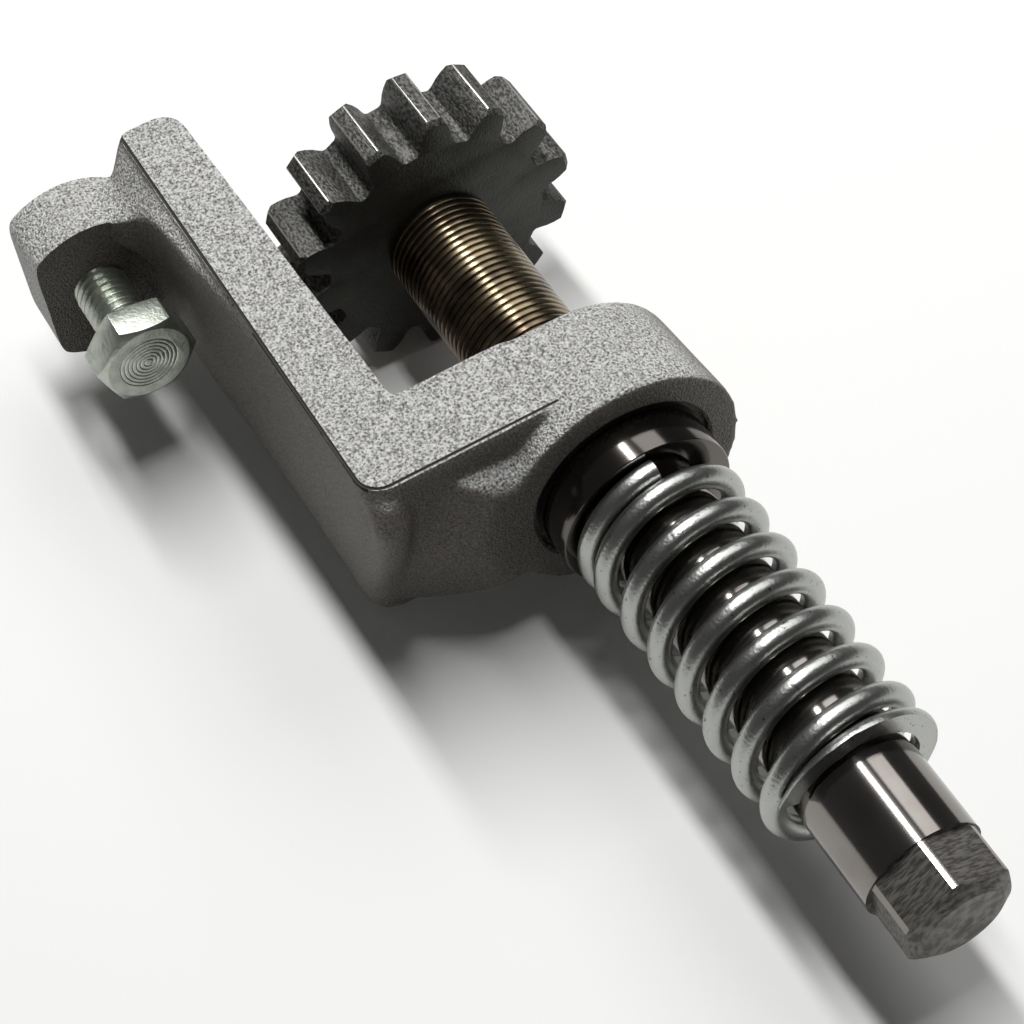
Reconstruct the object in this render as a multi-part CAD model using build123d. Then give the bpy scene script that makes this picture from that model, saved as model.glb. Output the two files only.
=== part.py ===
"""Caliper adjusting gear: a forged bracket that carries a geared, spring-loaded adjuster shaft.

Frame: the origin is the centre of the boss's seat face, on the axis of the fixing bolt.
+X runs from the gear towards the hexagon end, +Y from the bolt to the shaft, and +Z is up.
All sizes are in millimetres.
"""

import os
from math import atan2, ceil, cos, pi, radians, sin, sqrt, tan

from build123d import *

# Clearances and margins
running_clearance = 0.05
face_clearance = 0.1
cut_margin = 1.0
pick_margin = 0.01

# Adjuster shaft
shaft_core_radius = 4.5
shaft_keyed_radius = 7.0
spring_seat_step = 1.0
journal_step = 0.2
journal_spring_gap = 0.6
journal_length = 13.2
shaft_tail_length = 2.0
hex_across_flats = 14.3
hex_length = 8.3
hex_turned_step = 0.22
hex_corner_turn = 96.0
end_face_step = 2.3
end_chamfer_angle = 30.0

# Drive gear
gear_teeth = 14
gear_module = 2.75
gear_pressure_angle = 20.0
gear_root_depth = 2.15
gear_foot_step = 0.1
gear_tooth_share = 0.54
gear_flank_steps = 4
gear_width = 11.5
gear_front_station = 28.5
gear_tip_chamfer = 0.7
gear_tooth_phase = 84.0
gear_hub_length = 15.0
gear_hub_wall = 1.65
gear_bush_wall = 0.75
gear_arm_clearance = 1.7

# Wrap spring: close wound, square wire
wrap_wire_depth = 1.2
wrap_wire_width = 1.04
wrap_coil_gap = 0.1
wrap_end_gap = 0.25

# Clutch collar that turns in the ring
collar_stop_length = 1.4
collar_wall = 2.95
collar_stand_out = 6.0
collar_flange_overhang = 0.6
collar_edge_chamfer = 0.4
bush_wall = 1.5

# Key between the collar and the shaft
key_width = 3.0
key_height = 3.0
key_length = 12.0

# Retaining rings and thrust washers
ring_wire_thickness = 1.0
ring_section_height = 2.2
ring_groove_depth = 0.45
ring_mouth_angle = 46.0
ring_mouth_turn = -90.0
washer_thickness = 1.2
gear_washer_overhang = 1.65

# Compression spring round the shaft
spring_wire = 3.2
spring_shaft_gap = 0.8
spring_length = 48.0
spring_pitch = 6.5
spring_closed_gap = 0.1
spring_tip_thickness = 1.05
spring_start_angle = 88.0
spring_blend_turns = 0.3
spring_points_per_turn = 12

# Fixing bolt, M8 with a 13 mm head
bolt_thread_radius = 4.0
bolt_length = 25.0
bolt_head_across_flats = 13.0
bolt_head_height = 5.3
bolt_head_flat_share = 0.95
bolt_head_chamfer_angle = 30.0
bolt_stand_out = 11.0
bolt_point_chamfer = 0.8
bolt_head_turn = 51.0
bolt_hole_clearance = 0.06

# Bolt boss at the far end of the long arm
boss_length = 9.8
boss_radius = 12.0
boss_flat_side = 9.2
boss_hollow_offset = 6.3
boss_hollow_height = 8.6
boss_hollow_radius = 2.0
boss_hollow_start = 3.0
boss_corner_radius = 3.5
boss_root_radius = 5.5
spot_face_clearance = 0.7

# Long arm, parallel to the shaft
arm_outer_offset = 10.8
arm_end_setback = 0.8
arm_thickness_at_end = 8.4
arm_thickness_at_corner = 10.1
arm_end_radius = 3.5

# Swell of the arm's outer side, from the boss towards the corner
shoulder_lean = 2.2
shoulder_height = 9.2
swell_station = 18.0
swell_at_boss = 1.8
swell_height_at_boss = 13.8
swell_at_corner = 0.3
swell_height_at_corner = 15.6

# Cross arm and the ring that carries the shaft
cross_arm_station = 62.8
cross_arm_thickness = 12.2
cross_arm_lean = 0.3
cross_arm_lean_height = 5.0
cross_arm_undercut = 4.8
outer_corner_radius = 3.2
inner_corner_radius = 1.6
edge_radius = 0.9
ring_length = 16.7
ring_wall = 5.3
ring_draft = 1.0
ring_edge_radius = 1.4
ring_recess_depth = 1.4
recess_clearance = 0.8

# Rounded post on the outer corner
post_width = 5.0
post_ridge = 1.9
post_stand_out = 3.2
post_height = 10.5
post_top_setback = 1.2
post_top_drop = 0.6
post_root = 8.0
post_edge_radius = 0.9

# Web that braces the ring against the cross arm
web_end_setback = 5.2
web_end_run = 6.4
web_end_lean = 0.28
web_half_height_back = 12.5
web_half_height_front = 9.8
web_edge_radius = 1.6

# Radii worked out from the driving sizes, from the shaft outwards
shaft_radius = shaft_keyed_radius + spring_seat_step
journal_radius = shaft_radius + journal_step
hex_turned_radius = journal_radius - hex_turned_step
end_face_radius = hex_turned_radius - end_face_step
core_bore_radius = shaft_core_radius + running_clearance
gear_bush_radius = core_bore_radius + gear_bush_wall
gear_hub_radius = gear_bush_radius + gear_hub_wall
gear_washer_radius = gear_hub_radius + gear_washer_overhang
wrap_bore_radius = gear_hub_radius + running_clearance / 2
wrap_outer_radius = wrap_bore_radius + wrap_wire_depth
collar_arbor_radius = wrap_bore_radius - running_clearance
collar_stop_radius = wrap_outer_radius
collar_journal_radius = shaft_keyed_radius + collar_wall
bush_bore_radius = collar_journal_radius + running_clearance
ring_bore_radius = bush_bore_radius + bush_wall
ring_radius_back = ring_bore_radius + ring_wall
ring_radius_front = ring_radius_back + ring_draft
spring_outer_radius = shaft_radius + spring_shaft_gap + spring_wire
collar_flange_radius = spring_outer_radius + collar_flange_overhang
recess_radius = collar_flange_radius + recess_clearance
gear_pitch_radius = gear_module * gear_teeth / 2
gear_tip_radius = gear_pitch_radius + gear_module

# The bracket's height and the shaft's place beside the arm
half_height = ring_radius_back
arm_inner_offset = arm_outer_offset + arm_thickness_at_corner
shaft_offset = arm_inner_offset + gear_arm_clearance + gear_tip_radius
bolt_hole_radius = bolt_thread_radius + bolt_hole_clearance
bolt_corner_radius = bolt_head_across_flats / sqrt(3)
spot_face_radius = bolt_corner_radius + spot_face_clearance

# Stations worked out from the driving sizes
cross_arm_front = cross_arm_station + cross_arm_thickness
ring_front = cross_arm_station + ring_length
gear_back = gear_front_station - gear_width
gear_hub_end = gear_front_station + gear_hub_length
collar_arbor_start = gear_hub_end + 2 * face_clearance
recess_floor = ring_front - ring_recess_depth
flange_back = recess_floor + washer_thickness + 2 * face_clearance
collar_end_station = ring_front + collar_stand_out
collar_ring_front = cross_arm_station - face_clearance
collar_ring_back = collar_ring_front - ring_wire_thickness
collar_journal_start = collar_ring_back - ring_wire_thickness
collar_stop_start = collar_journal_start - collar_stop_length
keyed_start = collar_journal_start + ring_section_height
gear_washer_front = gear_back - face_clearance
gear_washer_back = gear_washer_front - washer_thickness
tail_ring_front = gear_washer_back
tail_ring_back = tail_ring_front - ring_wire_thickness
shaft_tail = tail_ring_back - shaft_tail_length
spring_end = collar_end_station + spring_length
journal_start = spring_end + journal_spring_gap
hex_start = journal_start + journal_length
shaft_end = hex_start + hex_length
bolt_seat = boss_length + bolt_stand_out


def on_shaft(shape):
    """Moves a shape made about the X axis onto the shaft's axis."""
    return Pos(0, shaft_offset, 0) * shape


def turned(points):
    """Revolves an outline of (station, radius) points about the X axis."""
    outline = make_face(Polyline(*[(x, r, 0) for x, r in points], close=True))
    return revolve(outline, Axis.X)


def tube(inner, outer, start, end):
    """A plain tube about the X axis."""
    return turned([(start, inner), (end, inner), (end, outer), (start, outer)])


def prism_x(sketch, start, end):
    """Extrudes a sketch of the Y-Z plane from one station to another."""
    return Pos(start, 0, 0) * extrude(Plane.YZ * sketch, end - start)


def hexagon(across_flats, turn):
    """A hexagon with one corner at the given angle from +Y towards +Z."""
    return Rot(0, 0, turn) * RegularPolygon(across_flats / sqrt(3), 6)


def arm_body():
    """The long arm and the cross arm, one L-shaped plan with rounded edges."""
    y_out, x_out = arm_outer_offset, cross_arm_front + cross_arm_lean
    corner = (x_out, y_out)
    inner_corner = (cross_arm_station, arm_inner_offset)
    free_end = (arm_end_setback, y_out + arm_thickness_at_end)
    plan = make_face(Polyline(
        (arm_end_setback, y_out), corner, (x_out, shaft_offset),
        (cross_arm_station, shaft_offset), inner_corner, free_end, close=True,
    ))
    rounded = {
        corner: outer_corner_radius,
        inner_corner: inner_corner_radius,
        free_end: arm_end_radius,
    }
    for place, radius in rounded.items():
        plan = fillet([plan.vertices().sort_by_distance((*place, 0))[0]], radius)
    h = half_height
    side = Plane.XZ * make_face(Polyline(
        (0, -h), (cross_arm_front - cross_arm_undercut, -h), (x_out, cross_arm_lean_height),
        (cross_arm_front, h), (0, h), close=True,
    ))
    body = Pos(0, 0, -h) * extrude(plan, 2 * h)
    body = body & extrude(side, -shaft_offset - cut_margin)
    low, high = h - pick_margin, h + pick_margin
    rims = body.edges().filter_by_position(Axis.Z, low, high)
    rims += body.edges().filter_by_position(Axis.Z, -high, -low)
    return fillet(rims, edge_radius)


def flank_section(station, swell, height):
    """The outline of the arm's outer side at a station, raised between two sloped bands."""
    side, high = arm_outer_offset, half_height - edge_radius
    sunk = side + arm_thickness_at_end / 2
    outline = Polyline(
        (sunk, high), (side, high), (side - swell, height),
        (side - swell, -height), (side, -high), (sunk, -high), close=True,
    )
    return Pos(station, 0, 0) * (Plane.YZ * make_face(outline))


def side_swell():
    """The swell of the arm's outer side: steep beside the boss, fading towards the corner."""
    return loft([
        flank_section(arm_end_setback, shoulder_lean, shoulder_height),
        flank_section(boss_length, shoulder_lean, shoulder_height),
        flank_section(swell_station, swell_at_boss, swell_height_at_boss),
        flank_section(
            cross_arm_front - outer_corner_radius, swell_at_corner, swell_height_at_corner
        ),
    ], ruled=True)


def corner_post():
    """The rounded post that stands out in front of the outer corner and leans back below."""
    y_out, front = arm_outer_offset, cross_arm_front
    ridge = front + post_stand_out
    root = front - post_root
    plan = make_face(Polyline(
        (root, y_out), (ridge - post_ridge, y_out), (ridge, y_out + post_ridge),
        (front, y_out + post_width), (root, y_out + post_width), close=True,
    ))
    h = half_height - post_top_drop
    side = Plane.XZ * make_face(Polyline(
        (root, -h), (front - cross_arm_undercut, -h), (ridge, post_height),
        (front - post_top_setback, h), (root, h), close=True,
    ))
    post = Pos(0, 0, -h) * extrude(plan, 2 * h)
    post = post & extrude(side, -shaft_offset)
    proud = post.edges().filter_by_position(Axis.X, front + pick_margin, ridge + pick_margin)
    return fillet(proud.filter_by(Axis.Z, reverse=True), post_edge_radius)


def ring_body():
    """The ring, drafted so that it widens towards the spring side."""
    cone = turned([
        (cross_arm_station, 0),
        (ring_front, 0),
        (ring_front, ring_radius_front),
        (cross_arm_station, ring_radius_back),
    ])
    rims = cone.edges().filter_by(GeomType.CIRCLE)
    return on_shaft(fillet(rims, ring_edge_radius))


def web_section(station, end, half):
    """The outline of the web at a station, pointed towards the corner."""
    shoulder = end + web_end_lean * half
    outline = Polyline(
        (end, 0), (shoulder, half), (shaft_offset, half), (shaft_offset, -half),
        (shoulder, -half), close=True,
    )
    return Pos(station, 0, 0) * (Plane.YZ * make_face(outline))


def web_body():
    """The brace in front of the cross arm, tapered towards its front and its end."""
    root = cross_arm_front - cross_arm_thickness / 2
    end = arm_outer_offset + web_end_setback
    back, front = web_half_height_back, web_half_height_front
    web = loft([
        web_section(root, end, back),
        web_section(cross_arm_front, end, back),
        web_section(ring_front, end + web_end_run, front),
    ], ruled=True)
    clear = cross_arm_front + pick_margin
    outer = web.edges().filter_by_position(Axis.X, clear, ring_front + pick_margin)
    outer = outer.filter_by_position(Axis.Y, 0, shaft_offset - pick_margin)
    return fillet(outer, web_edge_radius)


def boss_body():
    """The bolt boss, its hollow where it meets the arm's side, and the root fillet in front."""
    side = arm_outer_offset
    inside_arm = side + arm_thickness_at_end / 2
    shoulder = (side - shoulder_lean, shoulder_height)
    hollow = (boss_hollow_offset, boss_hollow_height)
    start = (boss_hollow_start, sqrt(boss_radius**2 - boss_hollow_start**2))
    upper = [(inside_arm, shoulder_height), shoulder, hollow, start]
    neck = make_face(Polyline(*upper, *[(y, -z) for y, z in reversed(upper)], close=True))
    for y, z in (hollow, (hollow[0], -hollow[1])):
        corner = neck.vertices().sort_by_distance((y, z, 0))[0]
        neck = fillet([corner], boss_hollow_radius)
    window = Pos(boss_radius - boss_flat_side, 0) * Rectangle(2 * boss_radius, 2 * boss_radius)
    head = prism_x(Circle(boss_radius) & window, 0, boss_length)
    head = fillet(head.edges().filter_by(Axis.X), boss_corner_radius)
    boss = head + prism_x(neck, 0, boss_length)
    x, y = boss_length, side - swell_at_boss
    back, front = x - edge_radius, x + boss_root_radius
    low, sunk = y - boss_root_radius, side + edge_radius
    root = make_face(Wire([
        Line((back, low), (back, sunk)),
        Line((back, sunk), (front, sunk)),
        Line((front, sunk), (front, y)),
        RadiusArc((front, y), (x, low), boss_root_radius),
        Line((x, low), (back, low)),
    ]))
    half = boss_hollow_height
    return boss + Pos(0, 0, -half) * extrude(root, 2 * half)


def bracket():
    body = arm_body() + side_swell() + corner_post() + ring_body() + web_body() + boss_body()
    spot_top = boss_length + boss_root_radius + cut_margin
    body -= prism_x(Circle(bolt_hole_radius), -cut_margin, boss_length + cut_margin)
    body -= prism_x(Circle(spot_face_radius), boss_length, spot_top)
    bore_start, bore_end = cross_arm_station - cut_margin, ring_front + cut_margin
    body -= on_shaft(prism_x(Circle(ring_bore_radius), bore_start, bore_end))
    body -= on_shaft(prism_x(Circle(recess_radius), recess_floor, bore_end))
    return body


def ring_bush():
    return on_shaft(tube(bush_bore_radius, ring_bore_radius, cross_arm_station, recess_floor))


def fixing_bolt():
    """A hexagon bolt, partly screwed in, with its point through the boss."""
    top = bolt_seat + bolt_head_height
    head = prism_x(hexagon(bolt_head_across_flats, bolt_head_turn), bolt_seat, top)
    corner = bolt_corner_radius + cut_margin
    rim = bolt_head_across_flats / 2 * bolt_head_flat_share
    drop = (corner - rim) * tan(radians(bolt_head_chamfer_angle))
    cap = turned([(bolt_seat, 0), (bolt_seat, corner), (top - drop, corner), (top, rim), (top, 0)])
    r, c = bolt_thread_radius, bolt_point_chamfer
    point = bolt_seat - bolt_length
    shank = turned([(point, 0), (point, r - c), (point + c, r), (bolt_seat, r), (bolt_seat, 0)])
    return (head & cap) + shank


def involute_angle(radius, base_radius):
    """Polar angle of an involute where it reaches a radius."""
    roll = sqrt(max(radius**2 / base_radius**2 - 1, 0))
    return roll - atan2(roll, 1)


def gear_profile():
    """Spur gear outline: involute flanks down to the base circle, then radial to the root."""
    pitch_r, tip_r = gear_pitch_radius, gear_tip_radius
    root_r = pitch_r - gear_root_depth
    base_r = pitch_r * cos(radians(gear_pressure_angle))
    foot_r = max(base_r, root_r + gear_foot_step)
    half_pitch = pi / gear_teeth * gear_tooth_share
    turn_at = lambda r: half_pitch - involute_angle(r, base_r) + involute_angle(pitch_r, base_r)
    flank_step = (tip_r - foot_r) / gear_flank_steps
    steps = [foot_r + flank_step * i for i in range(gear_flank_steps + 1)]
    polar = lambda r, a: (r * cos(a), r * sin(a))
    edges = []
    for tooth in range(gear_teeth):
        mid = radians(gear_tooth_phase) + 2 * pi * tooth / gear_teeth
        low, high = turn_at(foot_r), turn_at(tip_r)
        edges.append(Line(polar(root_r, mid - low), polar(foot_r, mid - low)))
        edges.append(Spline(*[polar(r, mid - turn_at(r)) for r in steps]))
        edges.append(RadiusArc(polar(tip_r, mid - high), polar(tip_r, mid + high), -tip_r))
        edges.append(Spline(*[polar(r, mid + turn_at(r)) for r in reversed(steps)]))
        edges.append(Line(polar(foot_r, mid + low), polar(root_r, mid + low)))
        gap_end = mid + 2 * pi / gear_teeth - low
        edges.append(RadiusArc(polar(root_r, mid + low), polar(root_r, gap_end), -root_r))
    return make_face(Wire(edges))


def drive_gear():
    """The toothed wheel with the hub that the wrap spring grips."""
    wheel = prism_x(gear_profile(), gear_back, gear_front_station)
    rim, over = gear_tip_radius - gear_tip_chamfer, gear_tip_chamfer + cut_margin
    wheel = wheel & turned([
        (gear_back, 0),
        (gear_back, rim),
        (gear_back + over, rim + over),
        (gear_front_station - over, rim + over),
        (gear_front_station, rim),
        (gear_front_station, 0),
    ])
    hub = tube(gear_bush_radius, gear_hub_radius, gear_back, gear_hub_end)
    bore = Circle(gear_bush_radius)
    wheel -= prism_x(bore, gear_back - cut_margin, gear_front_station + cut_margin)
    return on_shaft(wheel + hub)


def gear_bush():
    return on_shaft(tube(core_bore_radius, gear_bush_radius, gear_back, gear_hub_end))


def helix_frame(station, angle):
    """A plane across the shaft's axis, its local X at the given angle from +Y."""
    a = radians(angle)
    return Plane(origin=(station, shaft_offset, 0), x_dir=(0, cos(a), sin(a)), z_dir=(1, 0, 0))


def wrap_spring():
    """Square wire, wound close on the gear's hub and the collar's arbor."""
    start = gear_front_station + wrap_end_gap
    room = collar_stop_start - wrap_end_gap - start
    middle = wrap_bore_radius + wrap_wire_depth / 2
    path = Helix(wrap_wire_width + wrap_coil_gap, room - wrap_wire_width, middle)
    wire = Rectangle(wrap_wire_depth, wrap_wire_width)
    section = Plane(path @ 0, x_dir=(1, 0, 0), z_dir=path % 0) * wire
    coil = sweep(section, path, is_frenet=True)
    return helix_frame(start + wrap_wire_width / 2, 0).location * coil


def spring_turns():
    """The turns of the compression spring's closed first turn, open middle and closed last turn."""
    closed = spring_wire + spring_closed_gap
    return 1, (spring_length - spring_tip_thickness - 2 * closed) / spring_pitch, 1


def spring_rise(turns):
    """How far the wire's middle has risen after some turns, with an eased change of pitch."""
    closed = spring_wire + spring_closed_gap
    first, opened, _ = spring_turns()
    rise = closed * turns
    for start, sign in ((first, 1), (first + opened, -1)):
        past = turns - start + spring_blend_turns / 2
        gain = sign * (spring_pitch - closed)
        if past > spring_blend_turns:
            rise += gain * (past - spring_blend_turns / 2)
        elif past > 0:
            rise += gain * past**2 / (2 * spring_blend_turns)
    return rise


def compression_spring():
    """Round wire with a closed turn at each end, the free end ground flat."""
    middle = spring_outer_radius - spring_wire / 2
    turns = sum(spring_turns())
    count = ceil(turns * spring_points_per_turn)
    points = []
    for i in range(count + 1):
        t = turns * i / count
        angle = 2 * pi * t
        points.append((middle * cos(angle), middle * sin(angle), spring_rise(t)))
    path = Spline(*points)
    section = Plane(path @ 0, z_dir=path % 0) * Circle(spring_wire / 2)
    wire = sweep(section, path, is_frenet=True)
    first_middle = collar_end_station + spring_wire / 2 + running_clearance
    body = helix_frame(first_middle, spring_start_angle).location * wire
    reach = 2 * spring_outer_radius
    return body - on_shaft(prism_x(Circle(reach), spring_end, spring_end + spring_wire))


def clutch_collar():
    """The sleeve in the ring: arbor, spring stop, journal and the flange that the spring seats on."""
    groove = collar_journal_radius - ring_groove_depth
    chamfer = collar_edge_chamfer
    outside = [
        (collar_arbor_start, collar_arbor_radius),
        (collar_stop_start, collar_arbor_radius),
        (collar_stop_start, collar_stop_radius),
        (collar_journal_start, collar_stop_radius),
        (collar_journal_start, collar_journal_radius),
        (collar_ring_back, collar_journal_radius),
        (collar_ring_back, groove),
        (collar_ring_front, groove),
        (collar_ring_front, collar_journal_radius),
        (flange_back, collar_journal_radius),
        (flange_back, collar_flange_radius),
        (collar_end_station - chamfer, collar_flange_radius),
        (collar_end_station, collar_flange_radius - chamfer),
    ]
    inside = [
        (collar_end_station, shaft_keyed_radius),
        (keyed_start, shaft_keyed_radius),
        (keyed_start, core_bore_radius),
        (collar_arbor_start, core_bore_radius),
    ]
    return on_shaft(turned(outside + inside) - key_block())


def key_block():
    """The room that the key takes, half in the shaft and half in the collar."""
    middle = (flange_back + keyed_start) / 2
    return Pos(middle, 0, shaft_keyed_radius) * Box(key_length, key_width, key_height)


def collar_key():
    return on_shaft(key_block())


def adjuster_shaft():
    """The shaft: tail groove, core, keyed seat, body, journal and the hexagon."""
    groove = shaft_core_radius - ring_groove_depth
    chamfer = end_face_step * tan(radians(end_chamfer_angle))
    body = turned([
        (shaft_tail, 0),
        (shaft_tail, shaft_core_radius),
        (tail_ring_back, shaft_core_radius),
        (tail_ring_back, groove),
        (tail_ring_front, groove),
        (tail_ring_front, shaft_core_radius),
        (keyed_start, shaft_core_radius),
        (keyed_start, shaft_keyed_radius),
        (collar_end_station, shaft_keyed_radius),
        (collar_end_station, shaft_radius),
        (journal_start, shaft_radius),
        (journal_start, journal_radius),
        (hex_start, journal_radius),
        (hex_start, hex_turned_radius),
        (shaft_end - chamfer, hex_turned_radius),
        (shaft_end, end_face_radius),
        (shaft_end, 0),
    ])
    waste = Circle(2 * journal_radius) - hexagon(hex_across_flats, hex_corner_turn)
    body -= prism_x(waste, hex_start, shaft_end + cut_margin)
    return on_shaft(body - key_block())


def retaining_ring(seat_radius, start):
    """An open spring ring that sits in a groove."""
    inner = seat_radius - ring_groove_depth
    outer = inner + ring_section_height
    profile = Circle(outer) - Circle(inner)
    half = radians(ring_mouth_angle / 2)
    x, y = 2 * outer * cos(half), 2 * outer * sin(half)
    mouth = make_face(Polyline((0, 0), (x, y), (x, -y), close=True))
    profile -= Rot(0, 0, ring_mouth_turn) * mouth
    return on_shaft(prism_x(profile, start, start + ring_wire_thickness))


def collar_retaining_ring():
    return retaining_ring(collar_journal_radius, collar_ring_back)


def gear_retaining_ring():
    return retaining_ring(shaft_core_radius, tail_ring_back)


def gear_thrust_washer():
    return on_shaft(tube(core_bore_radius, gear_washer_radius, gear_washer_back, gear_washer_front))


def collar_thrust_washer():
    end = recess_floor + washer_thickness
    return on_shaft(tube(bush_bore_radius, collar_flange_radius, recess_floor, end))


NODES = {
    "bracket": bracket,
    "ring_bush": ring_bush,
    "fixing_bolt": fixing_bolt,
    "drive_gear": drive_gear,
    "gear_bush": gear_bush,
    "wrap_spring": wrap_spring,
    "clutch_collar": clutch_collar,
    "collar_key": collar_key,
    "collar_retaining_ring": collar_retaining_ring,
    "collar_thrust_washer": collar_thrust_washer,
    "adjuster_shaft": adjuster_shaft,
    "gear_thrust_washer": gear_thrust_washer,
    "gear_retaining_ring": gear_retaining_ring,
    "compression_spring": compression_spring,
}

os.makedirs("parts", exist_ok=True)
for name, make in NODES.items():
    export_step(make(), f"parts/{name}.step")
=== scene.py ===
"""The caliper adjusting gear: its looks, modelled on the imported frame.

Every piece is in metres and stands where its solid stands. The origin is the centre of the boss's
seat face, +X runs along the shaft to the hexagon, +Y from the bolt to the shaft, and +Z is up.
"""

from math import ceil, cos, pi, radians, sin, sqrt, tan

import bmesh
import bpy
from mathutils import Matrix, Vector


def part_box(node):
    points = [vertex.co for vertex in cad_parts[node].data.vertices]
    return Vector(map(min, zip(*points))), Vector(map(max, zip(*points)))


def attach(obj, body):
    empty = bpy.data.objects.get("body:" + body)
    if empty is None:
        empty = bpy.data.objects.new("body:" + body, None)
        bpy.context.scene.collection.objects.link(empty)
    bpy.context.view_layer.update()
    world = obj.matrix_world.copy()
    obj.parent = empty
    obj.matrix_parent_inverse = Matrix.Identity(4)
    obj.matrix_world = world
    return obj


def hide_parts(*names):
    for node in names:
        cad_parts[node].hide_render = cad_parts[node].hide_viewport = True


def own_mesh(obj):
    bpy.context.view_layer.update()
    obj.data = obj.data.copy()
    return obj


bl_info = {
    "name": "Caliper Adjusting Gear",
    "version": (1, 0, 0),
    "blender": (4, 5, 0),
    "location": "View3D > Sidebar > Adjuster",
    "description": "Models the pieces of a caliper adjusting gear on its packed frame",
    "category": "Object",
}

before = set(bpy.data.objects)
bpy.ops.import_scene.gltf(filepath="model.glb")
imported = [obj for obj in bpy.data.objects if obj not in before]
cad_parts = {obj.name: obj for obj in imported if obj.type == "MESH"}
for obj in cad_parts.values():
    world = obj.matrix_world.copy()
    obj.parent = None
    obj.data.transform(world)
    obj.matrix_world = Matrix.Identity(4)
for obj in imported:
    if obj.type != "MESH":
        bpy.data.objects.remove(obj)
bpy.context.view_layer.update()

MM = 0.001
AXIS_Y = sum(corner.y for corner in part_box("adjuster_shaft")) / 2


# Units, colours and properties

def to_linear(channel):
    """One sRGB channel from 0 to 1, turned to linear light."""
    if channel <= 0.04045:
        return channel / 12.92
    return ((channel + 0.055) / 1.055) ** 2.4


def srgb(text):
    """A colour written as #rrggbb, turned to linear light."""
    return tuple(to_linear(int(text[i:i + 2], 16) / 255) for i in (1, 3, 5))


def length(name, mm, note):
    return bpy.props.FloatProperty(
        name=name, description=note, default=mm * MM, unit="LENGTH", precision=5
    )


def angle(name, degrees, note):
    return bpy.props.FloatProperty(
        name=name, description=note, default=radians(degrees), subtype="ANGLE", unit="ROTATION"
    )


def number(name, value, note, unit="NONE"):
    return bpy.props.FloatProperty(name=name, description=note, default=value, unit=unit)


def count(name, value, note):
    return bpy.props.IntProperty(name=name, description=note, default=value, min=1)


def colour(name, text, note):
    return bpy.props.FloatVectorProperty(
        name=name, description=note, default=srgb(text), subtype="COLOR", size=3, min=0, max=1
    )


def mm(*values):
    """A place or a size given in millimetres."""
    return [value * MM for value in values]


def span(node):
    """Where a node's solid starts and ends along the shaft, in millimetres."""
    low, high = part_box(node)
    return low.x / MM, high.x / MM


# Selecting, joining and finishing

def deselect():
    if bpy.context.object and bpy.context.object.mode == "EDIT":
        bpy.ops.object.mode_set(mode="OBJECT")
    bpy.ops.object.select_all(action="DESELECT")


def only(piece):
    """Makes a piece the only one selected, and the active one."""
    deselect()
    piece.select_set(True)
    bpy.context.view_layer.objects.active = piece


def edit(piece):
    only(piece)
    bpy.ops.object.mode_set(mode="EDIT")


def leave_edit():
    bpy.ops.object.mode_set(mode="OBJECT")


def pick(piece, test, kind="VERT"):
    """In edit mode, selects the vertices, edges or faces that pass a test."""
    bpy.context.tool_settings.mesh_select_mode = [kind == k for k in ("VERT", "EDGE", "FACE")]
    bpy.ops.mesh.select_all(action="DESELECT")
    mesh = bmesh.from_edit_mesh(piece.data)
    for item in {"VERT": mesh.verts, "EDGE": mesh.edges, "FACE": mesh.faces}[kind]:
        if test(item):
            item.select_set(True)
    mesh.select_flush_mode()
    bmesh.update_edit_mesh(piece.data)


def tidy_mesh(piece, gap=1e-7):
    """Merges doubles and turns the faces outwards."""
    edit(piece)
    bpy.ops.mesh.select_all(action="SELECT")
    bpy.ops.mesh.remove_doubles(threshold=gap)
    bpy.ops.mesh.normals_make_consistent(inside=False)
    leave_edit()


def modify(piece, kind, **settings):
    """Adds a modifier, sets it and applies it."""
    only(piece)
    bpy.ops.object.modifier_add(type=kind)
    modifier = piece.modifiers[-1]
    for key, value in settings.items():
        setattr(modifier, key, value)
    bpy.ops.object.modifier_apply(modifier=modifier.name)


def soften(piece, width, segments=2, limit=35):
    """Breaks the sharp edges with a small round."""
    modify(
        piece, "BEVEL", width=width, segments=segments,
        limit_method="ANGLE", angle_limit=radians(limit),
    )


def combine(piece, tool, operation):
    """Cuts or joins a piece with a tool, which is used up."""
    modify(piece, "BOOLEAN", operation=operation, solver="EXACT", object=tool)
    only(tool)
    bpy.ops.object.delete()


def join(pieces):
    """Joins several meshes into the first."""
    only(pieces[0])
    for piece in pieces:
        piece.select_set(True)
    bpy.ops.object.join()
    return pieces[0]


def hand_over(piece, name, body, node, slot, *finishes):
    """Names a piece, gives it its finishes and hands it to its body in place of a node."""
    only(piece)
    bpy.ops.object.transform_apply(location=True, rotation=True, scale=True)
    piece.name = piece.data.name = name
    for finish in finishes:
        piece.data.materials.append(finish)
    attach(piece, body)
    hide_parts(node)


def paint_faces(piece, test, finish_index):
    """Gives the faces that pass a test another of the piece's finishes."""
    for face in piece.data.polygons:
        if test(face):
            face.material_index = finish_index


def from_axis(place):
    """How far a place is from the shaft's axis."""
    return Vector((place.y - AXIS_Y, place.z)).length


def smooth(piece, degrees=35):
    only(piece)
    bpy.ops.object.shade_smooth_by_angle(angle=radians(degrees))


# Shapes

def block(low, high):
    """A box between two corners."""
    deselect()
    middle = [(a + b) / 2 for a, b in zip(low, high)]
    size = [b - a for a, b in zip(low, high)]
    bpy.ops.mesh.primitive_cube_add(size=1, location=middle, scale=size)
    bpy.ops.object.transform_apply(location=True, rotation=True, scale=True)
    return bpy.context.object


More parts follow.
